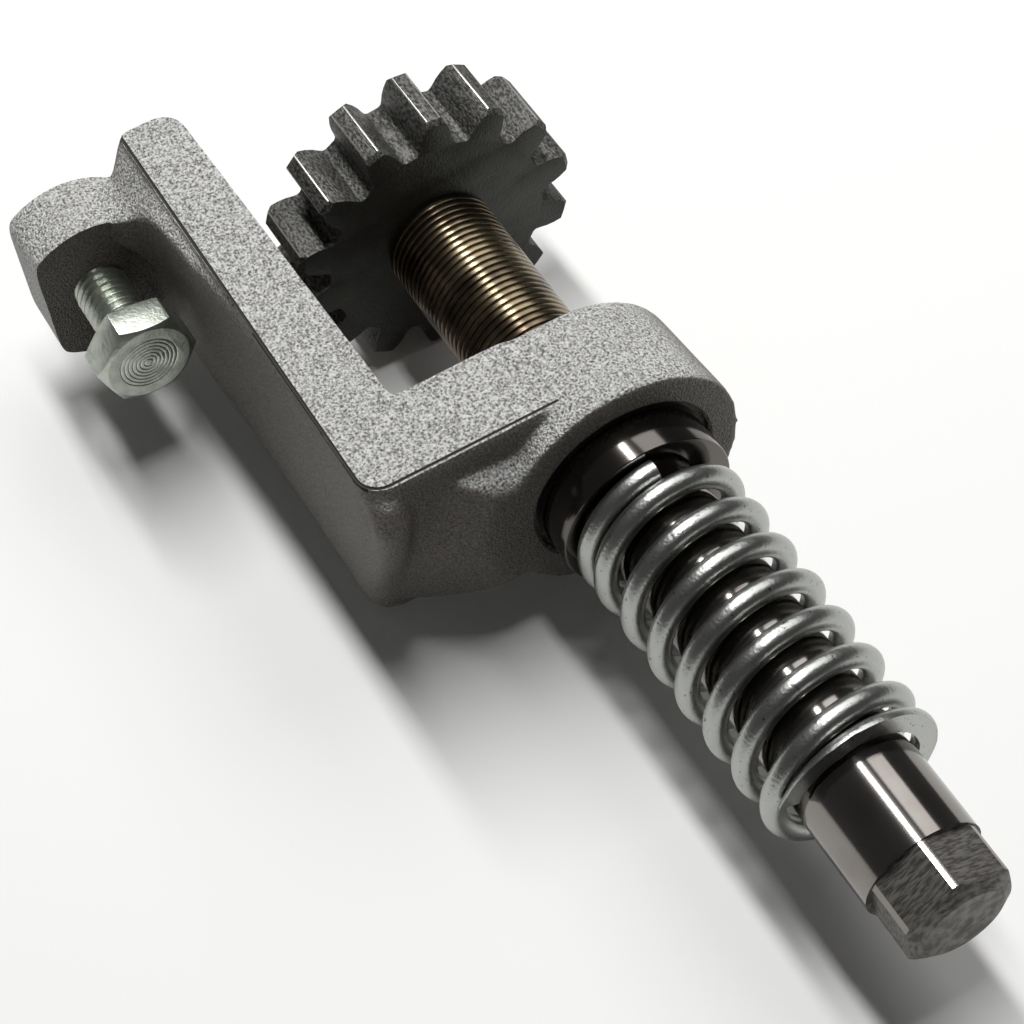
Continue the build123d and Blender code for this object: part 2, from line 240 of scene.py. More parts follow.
def rod(start, end, radius, end_radius=None, y=AXIS_Y, sides=128, turn=0.0):
    """A round or polygonal bar along X, with one corner turned from +Y towards +Z."""
    deselect()
    bpy.ops.mesh.primitive_cone_add(
        vertices=sides, radius1=radius, radius2=radius if end_radius is None else end_radius,
        depth=end - start,
    )
    made = bpy.context.object
    upright_to_x = Matrix.Rotation(pi / 2, 4, "Y")
    first_corner = Matrix.Rotation(turn, 4, "X")
    made.matrix_world = Matrix.Translation(((start + end) / 2, y, 0)) @ first_corner @ upright_to_x
    bpy.ops.object.transform_apply(location=True, rotation=True, scale=True)
    return made


def tube(points, radius, sides=12):
    """A round bar that follows points, with closed ends."""
    line = bpy.data.curves.new("line", "CURVE")
    line.dimensions = "3D"
    line.bevel_depth = radius
    line.bevel_resolution = (sides - 4) // 2
    line.use_fill_caps = True
    path = line.splines.new("POLY")
    path.points.add(len(points) - 1)
    for dot, place in zip(path.points, points):
        dot.co = (*place, 1)
    made = bpy.data.objects.new("line", line)
    bpy.context.scene.collection.objects.link(made)
    only(made)
    bpy.ops.object.convert(target="MESH")
    made = bpy.context.object
    tidy_mesh(made, 1e-6)
    return made


def loft(sections):
    """A skin through outlines across X, each a station and its (y, z) points in millimetres."""
    stations = [mm(x)[0] for x, _ in sections]
    rings = [
        chain([mm(x, y, z) for y, z in outline], (0, 0, 0), closed=True)
        for x, outline in sections
    ]
    made = join(rings)
    edit(made)
    at = lambda vertex, x: abs(vertex.co.x - x) < 1e-6
    for pair in zip(stations, stations[1:]):
        pick(made, lambda edge: any(all(at(v, x) for v in edge.verts) for x in pair), "EDGE")
        bpy.ops.mesh.bridge_edge_loops()
    leave_edit()
    close_holes(made)
    return made


def bevel_edges(piece, test, width, segments=5):
    """Rounds the edges that pass a test."""
    edit(piece)
    pick(piece, test, "EDGE")
    bpy.ops.mesh.bevel(offset=width, segments=segments, affect="EDGES")
    leave_edit()


def upright_at(x, y):
    """A test for edges that stand along Z near a place, in metres."""
    def test(edge):
        low, high = edge.verts
        close = all(abs(v.co.x - x) < 8 * MM and abs(v.co.y - y) < 0.4 * MM for v in edge.verts)
        return close and abs(low.co.z - high.co.z) > MM
    return test


def slice_off(piece, point, normal):
    """Cuts away what lies beyond a plane, and closes the cut."""
    edit(piece)
    bpy.ops.mesh.select_all(action="SELECT")
    outward = Vector(normal).normalized()
    bpy.ops.mesh.bisect(plane_co=point, plane_no=outward, use_fill=True, clear_outer=True)
    leave_edit()


def chain(points, origin, closed=False):
    """Draws edges through points about an origin, extruded one by one from a single vertex."""
    deselect()
    bpy.ops.mesh.primitive_plane_add(size=MM, location=origin)
    made = bpy.context.object
    bpy.ops.object.mode_set(mode="EDIT")
    bpy.ops.mesh.select_mode(type="VERT")
    bpy.ops.mesh.select_all(action="SELECT")
    bpy.ops.mesh.merge(type="CENTER")
    bpy.ops.transform.translate(value=points[0])
    stops = [*points, points[0]] if closed else points
    for here, there in zip(stops, stops[1:]):
        step = [b - a for a, b in zip(here, there)]
        bpy.ops.mesh.extrude_vertices_move(TRANSFORM_OT_translate={"value": step})
    bpy.ops.mesh.select_all(action="SELECT")
    bpy.ops.mesh.remove_doubles(threshold=1e-6)
    leave_edit()
    return made


def wind(outline, y, turns=1.0, rise=0.0, steps=112, closed=False):
    """Sweeps an outline of (station, radius) points round an X axis, with a rise for a screw."""
    made = chain([(x, r, 0) for x, r in outline], (0, y, 0), closed)
    whole = ceil(turns)
    modify(
        made, "SCREW", axis="X", angle=2 * pi * turns / whole, iterations=whole,
        screw_offset=rise / whole, steps=steps, render_steps=steps,
        use_merge_vertices=True, merge_threshold=1e-7,
    )
    only(made)
    bpy.ops.object.transform_apply(location=True, rotation=True, scale=True)
    tidy_mesh(made)
    return made


def turned(outline, y=AXIS_Y, steps=112, closed=False):
    """A turned piece from (station, radius) points in millimetres."""
    return wind([mm(*point) for point in outline], y, steps=steps, closed=closed)


def close_holes(piece):
    edit(piece)
    bpy.ops.mesh.select_all(action="SELECT")
    bpy.ops.mesh.fill_holes(sides=0)
    bpy.ops.mesh.normals_make_consistent(inside=False)
    leave_edit()


# Finishes

def add_node(tree, kind, values=None, links=None, stops=None, **settings):
    """Adds a shader node with its settings, input values, incoming links and ramp stops."""
    made = tree.nodes.new(kind)
    for key, value in settings.items():
        setattr(made, key, value)
    for key, value in (values or {}).items():
        made.inputs[key].default_value = value
    for key, socket in (links or {}).items():
        tree.links.new(socket, made.inputs[key])
    if stops:
        ramp = made.color_ramp
        while len(ramp.elements) < len(stops):
            ramp.elements.new(0.5)
        for element, (place, value) in zip(ramp.elements, stops):
            element.position = place
            element.color = (*value, 1)
    return made


def new_finish(name, metallic, roughness):
    """An empty finish: its material, node tree, shader and object coordinates."""
    made = bpy.data.materials.new(name)
    made.use_nodes = True
    tree = made.node_tree
    shader = tree.nodes["Principled BSDF"]
    shader.inputs["Metallic"].default_value = metallic
    shader.inputs["Roughness"].default_value = roughness
    place = add_node(tree, "ShaderNodeTexCoord").outputs["Object"]
    return made, tree, shader, place


def grey(value):
    return (value, value, value)


def noise(tree, place, size, detail=2.0, stretch=(1, 1, 1)):
    """The value of a noise whose grain has a size in metres, lengthened along each axis."""
    across = add_node(
        tree, "ShaderNodeMapping", {"Scale": [1 / size / s for s in stretch]}, {"Vector": place}
    ).outputs["Vector"]
    return add_node(
        tree, "ShaderNodeTexNoise", {"Scale": 1, "Detail": detail}, {"Vector": across}
    ).outputs["Fac"]


def mixed(tree, first, second, share):
    """Two colours mixed by a share; each is a colour or a socket."""
    made = add_node(tree, "ShaderNodeMix", None, {0: share}, data_type="RGBA")
    for index, value in ((6, first), (7, second)):
        if isinstance(value, bpy.types.NodeSocket):
            tree.links.new(value, made.inputs[index])
        else:
            made.inputs[index].default_value = (*value, 1)
    return made.outputs[2]


def ramp(tree, share, stops):
    """The colour that the stops of a ramp give for a share."""
    return add_node(tree, "ShaderNodeValToRGB", None, {"Fac": share}, stops).outputs["Color"]


def remap(tree, value, start, end, top=1.0):
    """A share that runs from 0 to its top while a value runs from start to end."""
    limits = {"From Min": start, "From Max": end, "To Max": top}
    return add_node(tree, "ShaderNodeMapRange", limits, {"Value": value}).outputs["Result"]


def calculate(tree, operation, *values, **settings):
    """The result of an operation on one or two values."""
    links = dict(enumerate(values))
    made = add_node(tree, "ShaderNodeMath", None, links, operation=operation, **settings)
    return made.outputs[0]


def tint_by(tree, shader, share, stops):
    """Colours a shader by a share, through the stops of a ramp."""
    tree.links.new(ramp(tree, share, stops), shader.inputs["Base Color"])


def relief(tree, shader, height, depth):
    """Raises a surface in the shader by a height from 0 to 1, to a depth in metres."""
    bump = add_node(tree, "ShaderNodeBump", {"Distance": depth}, {"Height": height})
    tree.links.new(bump.outputs["Normal"], shader.inputs["Normal"])


def shot_blasted_forging_with_painted_shade(colours):
    """Drop-forged steel peened to bright and dark specks; the drafted sides are painted darker and
    browner than the upward-facing flats, partly as-forged scale and partly painted shade.
    """
    made, tree, shader, place = new_finish("shot_blasted_forging_with_painted_shade", 0.3, 0.5)
    grain = noise(tree, place, 0.34 * MM, 4)
    flats = ramp(tree, grain, [
        (0.33, colours.forging_dark), (0.45, colours.forging_middle),
        (0.62, colours.forging_light),
    ])
    # Painted shade: the sides' darker, browner colours go on faces that do not face up or down
    sides = ramp(tree, grain, [(0.32, colours.shaded_side_dark), (0.66, colours.shaded_side_light)])
    normal = add_node(tree, "ShaderNodeTexCoord").outputs["Normal"]
    facing = add_node(tree, "ShaderNodeSeparateXYZ", None, {0: normal}).outputs
    flat = remap(tree, calculate(tree, "ABSOLUTE", facing["Z"]), 0.5, 0.75)
    # Painted light: the boss's outer side, facing -Y, is painted as bright as the flats
    across = add_node(tree, "ShaderNodeSeparateXYZ", None, {0: place}).outputs["Y"]
    beyond = remap(tree, across, -4 * MM, -7 * MM)
    outward = remap(tree, facing["Y"], -0.2, -0.7)
    boss = calculate(tree, "MULTIPLY", beyond, outward)
    # The flats' colours go on faces that look up or down, and on the boss's side as painted light
    bright = calculate(tree, "MAXIMUM", flat, boss)
    tree.links.new(mixed(tree, sides, flats, bright), shader.inputs["Base Color"])
    relief(tree, shader, grain, 0.5 * MM)
    return made


def crease_painted_shade(colours):
    """Painted shade: a dark colour in the crease that the forging die left, standing in for the
    shadow in its groove.
    """
    made, _, shader, _ = new_finish("crease_painted_shade", 0.0, 0.9)
    shader.inputs["Base Color"].default_value = (*colours.crease, 1)
    return made


def oiled_gear_face(colours):
    """Carburised gear steel under oil: nearly black, with a green-brown film."""
    made, tree, shader, place = new_finish("oiled_gear_face", 0.6, 0.5)
    film = noise(tree, place, 3.5 * MM, 4)
    tint = mixed(tree, colours.gear_oil, colours.gear_black, film)
    tree.links.new(tint, shader.inputs["Base Color"])
    relief(tree, shader, noise(tree, place, 0.35 * MM, 3), 0.12 * MM)
    return made


def worn_gear_flank(colours):
    """The same steel where it was cut and has run: lighter, with marks along the tooth."""
    made, tree, shader, place = new_finish("worn_gear_flank", 0.7, 0.55)
    marks = noise(tree, place, 0.4 * MM, 4, (1.6, 1, 1))
    tint_by(tree, shader, marks, [(0.38, colours.gear_flank_dark), (0.62, colours.gear_flank)])
    relief(tree, shader, marks, 0.22 * MM)
    return made


def worn_gear_edge_and_painted_highlight(colours):
    """The rims of the teeth, painted bright: partly rubbed wear and partly a painted highlight."""
    made, _, shader, _ = new_finish("worn_gear_edge_and_painted_highlight", 0.9, 0.4)
    shader.inputs["Base Color"].default_value = (*colours.gear_edge_wear_and_highlight, 1)
    return made


def tinted_spring_steel(colours):
    """Square spring wire, tempered: a straw and brown oil tint over bright steel."""
    made, tree, shader, place = new_finish("tinted_spring_steel", 1.0, 0.26)
    film = noise(tree, place, 5 * MM, 3)
    tint_by(tree, shader, film, [(0.35, colours.spring_brown), (0.62, colours.spring_straw)])
    return made


def ground_steel(name, roughness, tint, film=None):
    """Ground steel: bright, with fine rings round the axis and, on some, a faint brown film."""
    made, tree, shader, place = new_finish(name, 1.0, roughness)
    shader.inputs["Base Color"].default_value = (*tint, 1)
    if film is not None:
        share = remap(tree, noise(tree, place, 6 * MM, 4), 0.45, 0.75, 0.5)
        tree.links.new(mixed(tree, tint, film, share), shader.inputs["Base Color"])
    relief(tree, shader, noise(tree, place, 0.25 * MM, 2, (1, 60, 60)), 0.008 * MM)
    return made


def milled_flat(colours):
    """Milled steel flats: darker and coarse, with cutter lines across the shaft."""
    made, tree, shader, place = new_finish("milled_flat", 0.7, 0.5)
    lines = noise(tree, place, 0.3 * MM, 3, (1, 5, 5))
    tint_by(tree, shader, lines, [(0.38, colours.milled_dark), (0.62, colours.milled)])
    relief(tree, shader, lines, 0.1 * MM)
    return made


def bright_spring_wire(colours):
    """Cold-drawn spring wire, bright, with small pits along its draw."""
    made, tree, shader, place = new_finish("bright_spring_wire", 1.0, 0.3)
    pits = noise(tree, place, 0.45 * MM, 3)
    tint_by(tree, shader, pits, [(0.27, colours.wire_pit), (0.36, colours.wire)])
    relief(tree, shader, pits, 0.05 * MM)
    return made


def zinc_plate(colours):
    """Zinc-plated steel: silver with a pale green passivation, dulled in patches."""
    made, tree, shader, place = new_finish("zinc_plate", 0.95, 0.34)
    patch = noise(tree, place, 1.6 * MM, 4)
    tint_by(tree, shader, patch, [(0.35, colours.zinc_dull), (0.6, colours.zinc)])
    relief(tree, shader, noise(tree, place, 0.5 * MM, 3), 0.05 * MM)
    return made


def bearing_bronze(colours):
    """Turned bronze: warm, with fine rings."""
    made, tree, shader, place = new_finish("bearing_bronze", 1.0, 0.3)
    rings = noise(tree, place, 0.3 * MM, 2, (1, 40, 40))
    tint = mixed(tree, colours.bronze_dark, colours.bronze, rings)
    tree.links.new(tint, shader.inputs["Base Color"])
    relief(tree, shader, rings, 0.02 * MM)
    return made


# Sizes and colours that a user would change

class FinishColours(bpy.types.PropertyGroup):
    forging_dark: colour("Forging, dark", "#5c5b58", "Colour of the pits between the peened marks")
    forging_middle: colour("Forging", "#a5a4a1", "Colour of the blasted surface")
    forging_light: colour("Forging, bright", "#e2e2de", "Colour of the peened crests")
    # Painted shade: the drafted sides are painted darker and browner than the flats, partly
    # as-forged scale
    shaded_side_dark: colour("Forged side, dark", "#55514c", "Colour of the pits in the drafted sides")
    shaded_side_light: colour("Forged side", "#8c8780", "Colour of the drafted sides")
    # Painted shade: the crease's colour stands in for the shadow in its groove
    crease: colour("Crease", "#32312f", "Colour of the dirt in the crease")
    gear_black: colour("Gear face", "#2a2a28", "Colour of the gear's faces")
    gear_oil: colour("Gear oil film", "#45453f", "Tint of the oil on the gear's faces")
    gear_flank: colour("Gear flank", "#6c6b67", "Colour of the worn flanks and lands")
    # Painted highlight, partly wear: the bright colour of the teeth's tip rims
    gear_edge_wear_and_highlight: colour("Gear edge", "#c4c3be", "Colour of the teeth's rubbed rims")
    gear_flank_dark: colour("Gear flank, dark", "#343432", "Colour between the flanks' marks")
    spring_straw: colour("Wrap spring, straw", "#83775f", "Tempered tint of the wrap spring")
    spring_brown: colour("Wrap spring, brown", "#483f34", "Oil tint of the wrap spring")
    steel: colour("Ground steel", "#86827e", "Colour of the shaft and the washers")
    collar: colour("Collar", "#5e5a56", "Colour of the oiled collar")
    steel_film: colour("Steel film", "#6a6058", "Tint of the film on the ground steel")
    milled: colour("Milled flat", "#7d7a75", "Colour of the hexagon's flats")
    milled_dark: colour("Milled flat, dark", "#4f4c48", "Colour between the cutter lines")
    wire: colour("Spring wire", "#a9aba7", "Colour of the compression spring")
    wire_pit: colour("Spring wire, pits", "#4a4a46", "Colour of the pits in the spring wire")
    zinc: colour("Zinc plate", "#bcc1b7", "Colour of the bolt's plating")
    zinc_dull: colour("Zinc plate, dull", "#a7aca2", "Colour of the plating where it is dull")
    bronze: colour("Bronze", "#b08a4e", "Colour of the bushes")
    bronze_dark: colour("Bronze, dark", "#7c5c30", "Colour between the bushes' turning marks")


class BracketSizes(bpy.types.PropertyGroup):
    half_height: length("Half height", 16.8, "From the middle to the arms' flat top and bottom")
    outer_side: length("Outer side", 10.8, "From the bolt's axis to the long arm's outer side")
    crease: length("Crease", 0.24, "Radius of the crease round the arms' flat top")
    grain: length("Mesh grain", 0.5, "Size of the voxels that the forging is built from")
    softness: count("Softness", 16, "How often the forging's hollows and edges are smoothed")
    waviness: length("Waviness", 0.12, "Height of the forging's uneven skin")
    bore_radius: length("Ring bore", 11.5, "Radius of the bore that holds the bush")
    recess_radius: length("Ring recess", 13.4, "Radius of the recess round the collar")


class BoltSizes(bpy.types.PropertyGroup):
    across_flats: length("Across flats", 13.0, "Size of the bolt's hexagon")
    head_turn: angle("Head turn", 51.0, "Where a corner of the head stands, from +Y towards +Z")
    thread_radius: length("Thread radius", 4.0, "Outer radius of the thread")
    thread_pitch: length("Thread pitch", 1.25, "Rise of the thread in one turn")
    thread_depth: length("Thread depth", 0.72, "Depth of the thread")


class GearSizes(bpy.types.PropertyGroup):
    teeth: count("Teeth", 14, "Number of teeth")
    tip_radius: length("Tip radius", 22.0, "Radius at the teeth's tips")
    tooth_phase: angle("Tooth phase", 84.0, "Where a tooth stands, from +Y towards +Z")
    tip_chamfer: length("Tip chamfer", 0.7, "Chamfer at both ends of the teeth's tips")
    edge_round: length("Edge round", 0.16, "Round on the worn edges")
    hub_radius: length("Hub radius", 6.95, "Radius of the hub that the wrap spring grips")


class WrapSpringSizes(bpy.types.PropertyGroup):
    pitch: length("Pitch", 1.14, "Distance from one turn to the next")
    wire_width: length("Wire width", 1.04, "Width of the wire along the shaft")
    wire_corner: length("Wire corner", 0.16, "Corner round of the square wire")


class ShaftSizes(bpy.types.PropertyGroup):
    across_flats: length("Across flats", 14.3, "Size of the adjuster's hexagon")
    corner_turn: angle("Corner turn", 96.0, "Where a corner of the hexagon stands")
    edge_round: length("Edge round", 0.15, "Round on the turned edges")


class CompressionSpringSizes(bpy.types.PropertyGroup):
    wire: length("Wire", 3.2, "Diameter of the spring's wire")
    outer_radius: length("Outer radius", 12.0, "Outer radius of the coil")
    closed_pitch: length("Closed pitch", 3.3, "Pitch of the closed end turns")
    pitch: length("Open pitch", 6.5, "Pitch of the open turns")
    tip: length("Tip", 1.05, "Thickness that grinding leaves at the free end's tip")
    start_turn: angle("Start turn", 88.0, "Where the wire starts, from +Y towards +Z")
    ease: number("Ease", 0.3, "Turns over which the pitch changes")


class StageSettings(bpy.types.PropertyGroup):
    floor: colour("Floor", "#eeeeec", "Colour of the floor as it is seen")
    floor_bounce: colour("Floor bounce", "#363634", "Colour of the floor as it lights the object")
    box_length: length("Box length", 900, "Length of both soft boxes along the shaft")
    strip_width: length("Strip width", 80, "Width of the strip box over the shaft")
    strip_power: number("Strip power", 8.5, "Power of the strip box over the shaft", "POWER")
    fill_width: length("Fill width", 420, "Width of the fill box beside the strip")
    fill_power: number("Fill power", 2.6, "Power of the fill box beside the strip", "POWER")
    lens: number("Lens", 92.52, "Focal length of the camera", "CAMERA")


# Pieces

# The crease in the arms' flat top: beside the long arm, before the cross arm, and its bend, in mm
CREASE_SIDE, CREASE_FRONT, CREASE_BEND = 10.85, 75.05, 3.2
BEND_MIDDLE = (CREASE_FRONT - CREASE_BEND, CREASE_SIDE + CREASE_BEND)

# Where the planed flat and the crease run out on the ring, along Y in mm
FLAT_END = 38.4

# The cross arm's front leans back below, and faces this way
LEAN = (21.8, 0, -5.1)

# Stations of the cross arm's inner side and the ring's front, and the boss's length, in mm
CROSS_START, RING_FRONT, BOSS_LENGTH = 62.8, 79.5, 9.8
BOSS_RADIUS, BOSS_SIDE = 12.1, -8.2


def arm_pieces(side, high):
    """The long arm, the cross arm, and the lip that stands out past the crease."""
    # They stand taller here, and are planed flat once the forging has been softened
    tall = high + 1.8 * MM
    free_end, arm_end, inner_side, taper = mm(0.7, 66, 20.9, 1.7)
    arm = block((free_end, side, -tall), (arm_end, inner_side, tall))
    edit(arm)
    pick(arm, lambda v: v.co.x < free_end + MM and v.co.y > inner_side - MM)
    bpy.ops.transform.translate(value=(0, -taper, 0))
    leave_edit()
    bevel_edges(arm, upright_at(free_end, inner_side - taper), 3.4 * MM)
    bevel_edges(arm, upright_at(free_end, side), 1.2 * MM)

    front = CREASE_FRONT * MM
    cross = block((CROSS_START * MM, side, -tall), (front, 34 * MM, tall))
    edit(cross)
    pick(cross, lambda face: face.normal.y > 0.9, "FACE")
    bpy.ops.mesh.extrude_region_move(TRANSFORM_OT_translate={"value": mm(0, 4.4, 0)})
    bpy.ops.transform.resize(value=(1, 1, high / tall))
    leave_edit()
    slice_off(cross, mm(74.5, 0, 5), LEAN)
    bevel_edges(cross, upright_at(front, side), CREASE_BEND * MM)

    lip_side = side - 0.3 * MM
    lip = block((CROSS_START * MM, lip_side, -high), (78 * MM, 46 * MM, high))
    slice_off(lip, mm(75.4, 0, 5), (11.8, 0, -0.6))
    slice_off(lip, mm(75.4, 0, 5), LEAN)
    bevel_edges(lip, upright_at(74 * MM, lip_side), 4.2 * MM)
    return [arm, cross, lip]


def side_pieces():
    """The outer side's swell beside the boss, and the post that leans back below the corner."""
    # Station, the upper ridge (y, z) and the lower ridge (y, z below the middle), in mm
    swell = [
        (0.9, 8.6, 9.3, 8.6, 9.3), (3.5, 7.9, 13.8, 8.6, 9.5), (9.8, 7.4, 13.3, 8.8, 10.2),
        (12.7, 6.6, 12.7, 8.8, 11.5), (15.5, 7.8, 14.4, 8.85, 12.6), (19, 8.4, 15, 8.9, 13.7),
        (25.7, 8.8, 15.1, 9.1, 14.1), (31.5, 9.35, 15.3, 9.6, 14.6),
        (40.3, 9.9, 15.7, 10, 15.3), (50, 10.25, 16, 10.3, 15.9),
        (62, 10.45, 16.35, 10.45, 16.3), (71, 10.5, 16.45, 10.5, 16.4),
    ]
    flank = loft([
        (x, [(14, 16.7), (10.7, 16.7), (y, z), (low_y, -low_z), (10.7, -16.7), (14, -16.7)])
        for x, y, z, low_y, low_z in swell
    ])
    slice_off(flank, mm(71.4, 0, 5), LEAN)
    post = tube([
        mm(*place) for place in (
            (72.3, 13.2, 15.4), (74.8, 13.1, 12.8), (75.8, 13, 9.8), (73.7, 13, 2.7),
            (70.9, 13.1, -4.2), (66.6, 13.4, -13.6), (65.4, 13.5, -16.2),
        )
    ], 2.6 * MM, 24)
    return [flank, post]


def ring_pieces():
    """The ring that carries the shaft, and the web that braces it."""
    ring = rod(CROSS_START * MM, RING_FRONT * MM, 16.9 * MM, 17.9 * MM)
    web = block(mm(68, 12, -14), mm(RING_FRONT, 44, 14))
    # Above and below, its leaning end, its long slope and its steeper front slope
    for up in (1, -1):
        slice_off(web, mm(75.2, 16.5, 0), (82.6, -54.6, 15.2 * up))
        slice_off(web, mm(75.5, 20.5, 12.9 * up), (11, 3.6, 32 * up))
        slice_off(web, mm(78.2, 26.6, 10.9 * up), (30, 3.6, 26 * up))
    return [ring, web]


def boss_pieces():
    """The bolt boss, and the neck and root that join it to the long arm."""
    boss = rod(-1 * MM, BOSS_LENGTH * MM, BOSS_RADIUS * MM, y=0)
    face = rod(9 * MM, 11.4 * MM, BOSS_RADIUS * MM, y=0)
    slice_off(face, mm(0, 3.5, 0), (0, 1, 0))

    def on_side_rim(edge):
        near, far = edge.verts
        on_side = all(v.co.y < (BOSS_SIDE + 0.1) * MM and abs(v.co.z) > 7 * MM for v in edge.verts)
        return on_side and abs(near.co.x - far.co.x) > MM

    for piece in (boss, face):
        slice_off(piece, mm(0, BOSS_SIDE, 0), (0, -1, 0))
        bevel_edges(piece, on_side_rim, 3.4 * MM)

    hollow = [(14, 9.2), (8.7, 9.2), (7, 8.6), (5.6, 8.9), (3, 11.2), (1, 11.9)]
    ramp = [(14, 13.4), (7.6, 13.4), (6.2, 12.2), (4.8, 11.4), (3, 11), (1, 11.9)]
    under = [(y, -z) for y, z in reversed(hollow)]
    neck = loft([
        (-1, hollow + under), (1, hollow + under),
        (3.5, ramp + under), (BOSS_LENGTH, ramp + under),
    ])
    root = block(mm(6, 2, -8), mm(16, 13, 14))
    slice_off(root, mm(13, 6.7, 0), (1, -1, 0))
    slice_off(root, mm(12.4, 6.6, 12.6), (0, -0.45, 1))
    return [boss, face, neck, root]


def planing_tool(high):
    """What is planed off: above and below the arms, and in front of the boss and its root."""
    tops = block((-5 * MM, -20 * MM, high), mm(90, FLAT_END, 30))
    bottoms = block(mm(-5, -20, -30), (90 * MM, FLAT_END * MM, -high))
    front = block(mm(BOSS_LENGTH, -20, -20), mm(13, 7.5, 20))
    slice_off(front, mm(12.7, 6.75, 0), (-1, 1, 0))
    return join([tops, bottoms, front])


def boring_tool(size):
    """What is bored and grooved: the ring's bore, the bolt's hole and the crease."""
    bore, recess = size.bore_radius / MM, size.recess_radius / MM
    hole, spot_face, chamfer = 4.06, 8.2, 0.3
    recess_floor, recess_end = 78.1, 79.1
    x, y = BEND_MIDDLE
    bend = [
        (x + CREASE_BEND * sin(radians(a)), y - CREASE_BEND * cos(radians(a)), 16.8)
        for a in range(0, 91, 15)
    ]
    path = [(-1, CREASE_SIDE, 16.8), *bend, (CREASE_FRONT, FLAT_END, 16.9)]
    groove = tube([mm(*place) for place in path], size.crease, 10)
    ring_tool = turned([
        (60, 0), (60, bore + chamfer), (CROSS_START - 0.2, bore + chamfer),
        (CROSS_START + chamfer, bore), (recess_floor, bore), (recess_floor, recess),
        (recess_end, recess), (recess_end + 1, recess + 1), (82, recess + 1), (82, 0),
    ])
    bolt_tool = turned([
        (-1, 0), (-1, 5.4), (chamfer, hole), (BOSS_LENGTH, hole), (BOSS_LENGTH, spot_face),
        (17, spot_face), (17, 0),
    ], y=0)
    return join([ring_tool, bolt_tool, groove])


def in_crease(face):
    """Whether a face lies in the crease's groove."""
    x, y, z = face.center / MM
    middle_x, middle_y = BEND_MIDDLE
    if x < middle_x:
        off = abs(y - CREASE_SIDE)
    elif y > middle_y:
        off = abs(x - CREASE_FRONT)
    else:
        off = abs(Vector((x - middle_x, y - middle_y)).length - CREASE_BEND)
    return off < 0.3 and y < FLAT_END + 0.1 and 16.4 < z < 16.79


class ADJUSTER_OT_bracket(bpy.types.Operator):
    """Forges the bracket from overlapping pieces, softens it and machines it"""
    bl_idname = "adjuster.bracket"
    bl_label = "Bracket"

    def execute(self, context):
        size = context.scene.adjuster_bracket
        side, high = size.outer_side, size.half_height
        bracket = join([
            *arm_pieces(side, high), *side_pieces(), *ring_pieces(), *boss_pieces(),
        ])
        modify(bracket, "REMESH", mode="VOXEL", voxel_size=size.grain)
        modify(bracket, "SMOOTH", factor=0.5, iterations=size.softness)
        skin = bpy.data.textures.new("forging_skin", "CLOUDS")
        skin.noise_scale = 6 * MM
        modify(
            bracket, "DISPLACE", texture=skin, texture_coords="LOCAL",
            strength=size.waviness, mid_level=0.5,
        )

        # Planed and bored surfaces are cut last, so that they stay crisp
        slice_off(bracket, (0, 0, 0), (-1, 0, 0))
        combine(bracket, planing_tool(high), "DIFFERENCE")
        combine(bracket, boring_tool(size), "DIFFERENCE")
        smooth(bracket, 40)
        colours = context.scene.adjuster_colours
        hand_over(
            bracket, "forged_bracket", "bracket", "bracket", "forged_steel",
            shot_blasted_forging_with_painted_shade(colours), crease_painted_shade(colours),
        )
        # Painted shade: the faces in the crease's groove are painted dark
        paint_faces(bracket, in_crease, 1)
        return {"FINISHED"}


class ADJUSTER_OT_bolt(bpy.types.Operator):
    """Makes the hexagon bolt with its helical thread"""
    bl_idname = "adjuster.bolt"
    bl_label = "Fixing bolt"

    def execute(self, context):
        size = context.scene.adjuster_bolt
        point, top = (corner.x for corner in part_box("fixing_bolt"))
        head_height, outer_ring, ring_step, ring_depth, end_chamfer = mm(5.3, 4.4, 0.6, 0.08, 0.9)
        seat = top - head_height
        flat = size.across_flats / 2
        corner = 2 * flat / sqrt(3)
        rim = 0.94 * flat
        drop = (corner + MM - rim) * tan(radians(30))

        head = rod(seat, top, corner, y=0, sides=6, turn=size.head_turn)
        face = [(top, rim)]
        for i in range(7):
            r = outer_ring - i * ring_step
            face += [
                (top, r), (top - ring_depth, r - 0.1 * MM),
                (top - ring_depth, r - 0.18 * MM), (top, r - 0.28 * MM),
            ]
        cap = wind([
            (seat - 0.1 * MM, 0), (seat - 0.1 * MM, rim), (seat + 0.5 * MM, corner + MM),
            (top - drop, corner + MM), *face, (top, 0),
        ], 0)
        combine(head, cap, "INTERSECT")
        soften(head, 0.12 * MM)

        r, deep, pitch = size.thread_radius, size.thread_depth, size.thread_pitch
        turns = ceil((seat - point) / pitch)
        x = seat - pitch * turns
        thread = wind([
            (x, r - deep), (x + 0.36 * pitch, r), (x + 0.5 * pitch, r),
            (x + 0.86 * pitch, r - deep), (x + pitch, r - deep),
        ], 0, turns=turns, rise=pitch * turns, steps=64)
        tidy_mesh(thread, 1e-6)
        close_holes(thread)
        clear = r + 0.05 * MM
        shank = wind([
            (point, 0), (point, r - end_chamfer), (point + end_chamfer, clear),
            (seat + MM, clear), (seat + MM, 0),
        ], 0)
        combine(thread, shank, "INTERSECT")
        combine(head, thread, "UNION")
        smooth(head, 30)
        hand_over(
            head, "hexagon_bolt", "bolt", "fixing_bolt", "zinc_plated_steel",
            zinc_plate(context.scene.adjuster_colours),
        )
        return {"FINISHED"}


